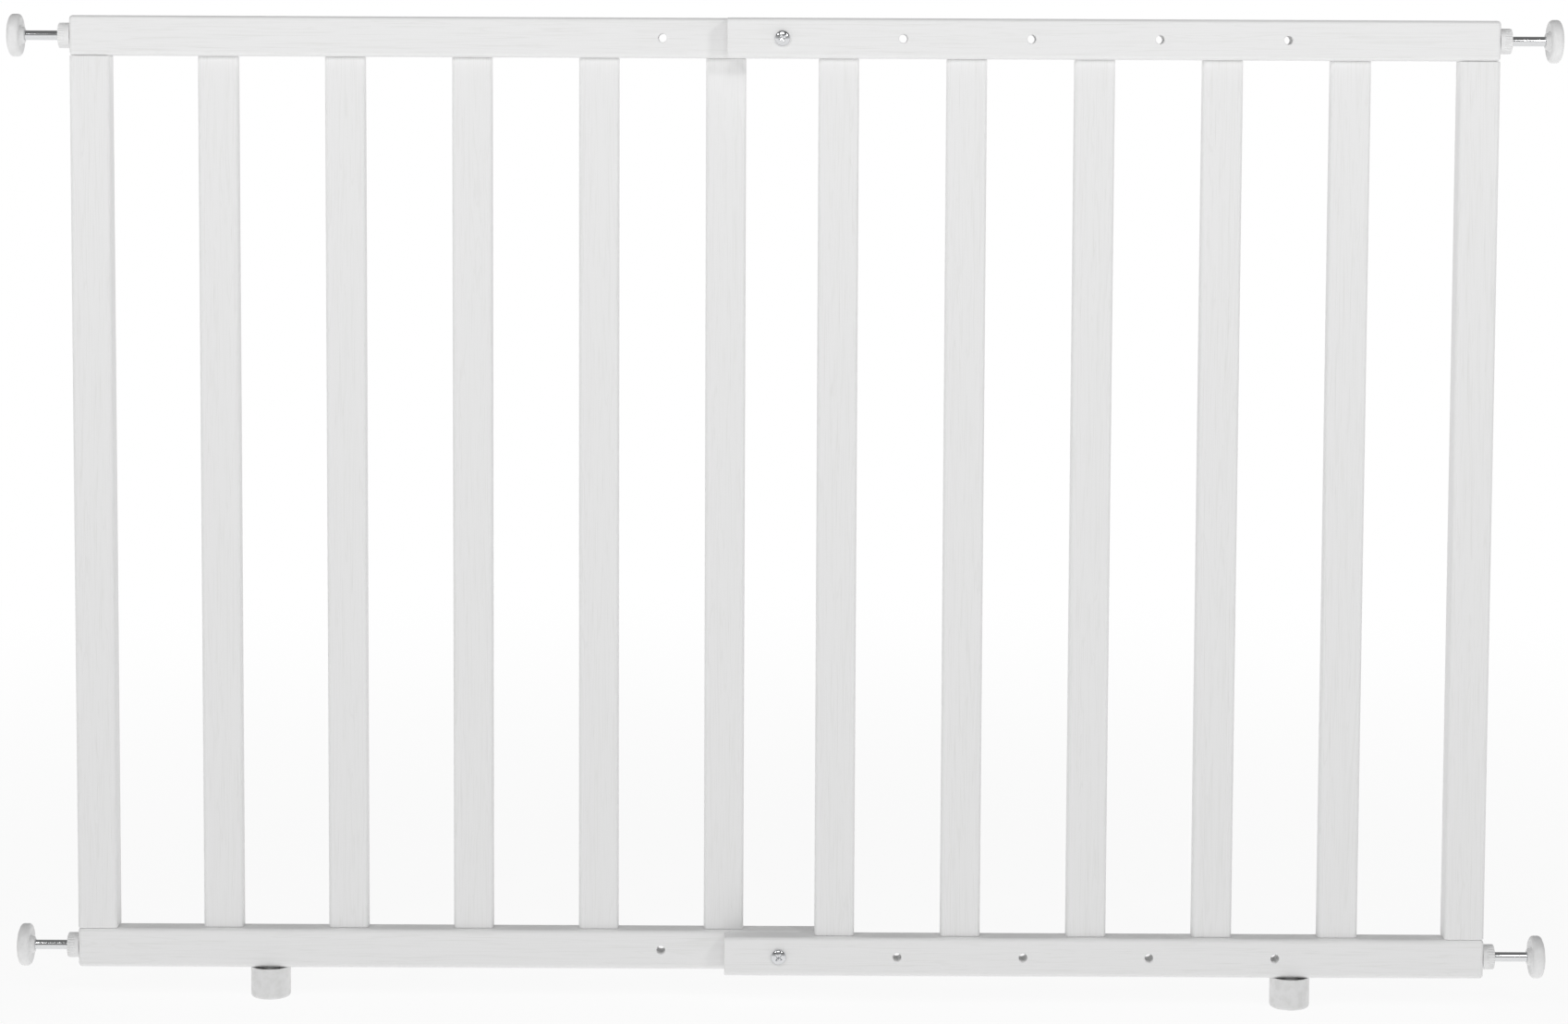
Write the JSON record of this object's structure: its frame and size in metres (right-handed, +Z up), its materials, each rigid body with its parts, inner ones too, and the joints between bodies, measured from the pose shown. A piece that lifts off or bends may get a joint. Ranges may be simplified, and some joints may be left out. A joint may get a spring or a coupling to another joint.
{
  "type": "safety baby gate",
  "caption": "Extendable slatted safety gate of white painted wood, clamped in a doorway by threaded wall spindles.",
  "frame": {"origin": "on the floor, below the middle of the gate", "axes": "+Z up, +X to the right seen from the front, -Y towards the front; the rear panel is at -X, the front panel at +X"},
  "size_m": [1.1562, 0.0526, 0.745],
  "materials": {
    "painted_beech": "satin white paint over fine beech grain",
    "bare_beech": "unfinished turned dowel",
    "white_plastic": "moulded white nylon, satin",
    "soft_facing": "matt white elastomer",
    "moulded_foot": "matt off-white elastomer",
    "threaded_steel": "bright zinc-plated rolled thread",
    "zinc_steel": "bright zinc plate"
  },
  "bodies": {
    "rear_panel": {"rear_bottom_rail": "painted_beech", "rear_top_rail": "painted_beech", "rear_end_post": "painted_beech", "rear_bar_1": "painted_beech", "rear_bar_2": "painted_beech", "rear_bar_3": "painted_beech", "rear_bar_4": "painted_beech", "rear_bar_5": "painted_beech", "rear_dowels": "bare_beech", "rear_foot": "moulded_foot", "rear_foot_screw": "zinc_steel", "bottom_sleeve_nut": "zinc_steel", "top_sleeve_nut": "zinc_steel"},
    "front_panel": {"front_bottom_rail": "painted_beech", "front_top_rail": "painted_beech", "front_end_post": "painted_beech", "front_bar_1": "painted_beech", "front_bar_2": "painted_beech", "front_bar_3": "painted_beech", "front_bar_4": "painted_beech", "front_bar_5": "painted_beech", "front_dowels": "bare_beech", "front_foot": "moulded_foot", "front_foot_screw": "zinc_steel", "bottom_panel_screw": "zinc_steel", "top_panel_screw": "zinc_steel"},
    "rear_bottom_adjuster": {"rear_bottom_nut": "white_plastic"},
    "rear_bottom_spindle": {"rear_bottom_rod": "threaded_steel", "rear_bottom_pad": "white_plastic", "rear_bottom_pad_facing": "soft_facing"},
    "rear_top_adjuster": {"rear_top_nut": "white_plastic"},
    "rear_top_spindle": {"rear_top_rod": "threaded_steel", "rear_top_pad": "white_plastic", "rear_top_pad_facing": "soft_facing"},
    "front_bottom_adjuster": {"front_bottom_nut": "white_plastic"},
    "front_bottom_spindle": {"front_bottom_rod": "threaded_steel", "front_bottom_pad": "white_plastic", "front_bottom_pad_facing": "soft_facing"},
    "front_top_adjuster": {"front_top_nut": "white_plastic"},
    "front_top_spindle": {"front_top_rod": "threaded_steel", "front_top_pad": "white_plastic", "front_top_pad_facing": "soft_facing"}
  },
  "joints": [
    {"name": "panel_slide", "type": "slide", "parent": "rear_panel", "child": "front_panel", "axis": [-1, 0, 0], "range_m": [0, 0.464]},
    {"name": "rear_bottom_nut_turn", "type": "hinge", "parent": "rear_panel", "child": "rear_bottom_adjuster", "pos_m": [-0.536, 0.0103, 0.039], "axis": [1, 0, 0], "range_deg": [0, 7200]},
    {"name": "rear_bottom_spindle_slide", "type": "slide", "parent": "rear_panel", "child": "rear_bottom_spindle", "axis": [-1, 0, 0], "range_m": [0, 0.025]},
    {"name": "rear_top_nut_turn", "type": "hinge", "parent": "rear_panel", "child": "rear_top_adjuster", "pos_m": [-0.536, 0.0103, 0.729], "axis": [1, 0, 0], "range_deg": [0, 7200]},
    {"name": "rear_top_spindle_slide", "type": "slide", "parent": "rear_panel", "child": "rear_top_spindle", "axis": [-1, 0, 0], "range_m": [0, 0.025]},
    {"name": "front_bottom_nut_turn", "type": "hinge", "parent": "front_panel", "child": "front_bottom_adjuster", "pos_m": [0.536, -0.0103, 0.039], "axis": [-1, 0, 0], "range_deg": [0, 7200]},
    {"name": "front_bottom_spindle_slide", "type": "slide", "parent": "front_panel", "child": "front_bottom_spindle", "axis": [1, 0, 0], "range_m": [0, 0.025]},
    {"name": "front_top_nut_turn", "type": "hinge", "parent": "front_panel", "child": "front_top_adjuster", "pos_m": [0.536, -0.0103, 0.729], "axis": [-1, 0, 0], "range_deg": [0, 7200]},
    {"name": "front_top_spindle_slide", "type": "slide", "parent": "front_panel", "child": "front_top_spindle", "axis": [1, 0, 0], "range_m": [0, 0.025]}
  ],
  "couplings": [
    {"joint": "rear_bottom_nut_turn", "follows": "rear_bottom_spindle_slide", "rad_per_m": 5026.5},
    {"joint": "rear_top_nut_turn", "follows": "rear_top_spindle_slide", "rad_per_m": 5026.5},
    {"joint": "front_bottom_nut_turn", "follows": "front_bottom_spindle_slide", "rad_per_m": 5026.5},
    {"joint": "front_top_nut_turn", "follows": "front_top_spindle_slide", "rad_per_m": 5026.5}
  ]
}
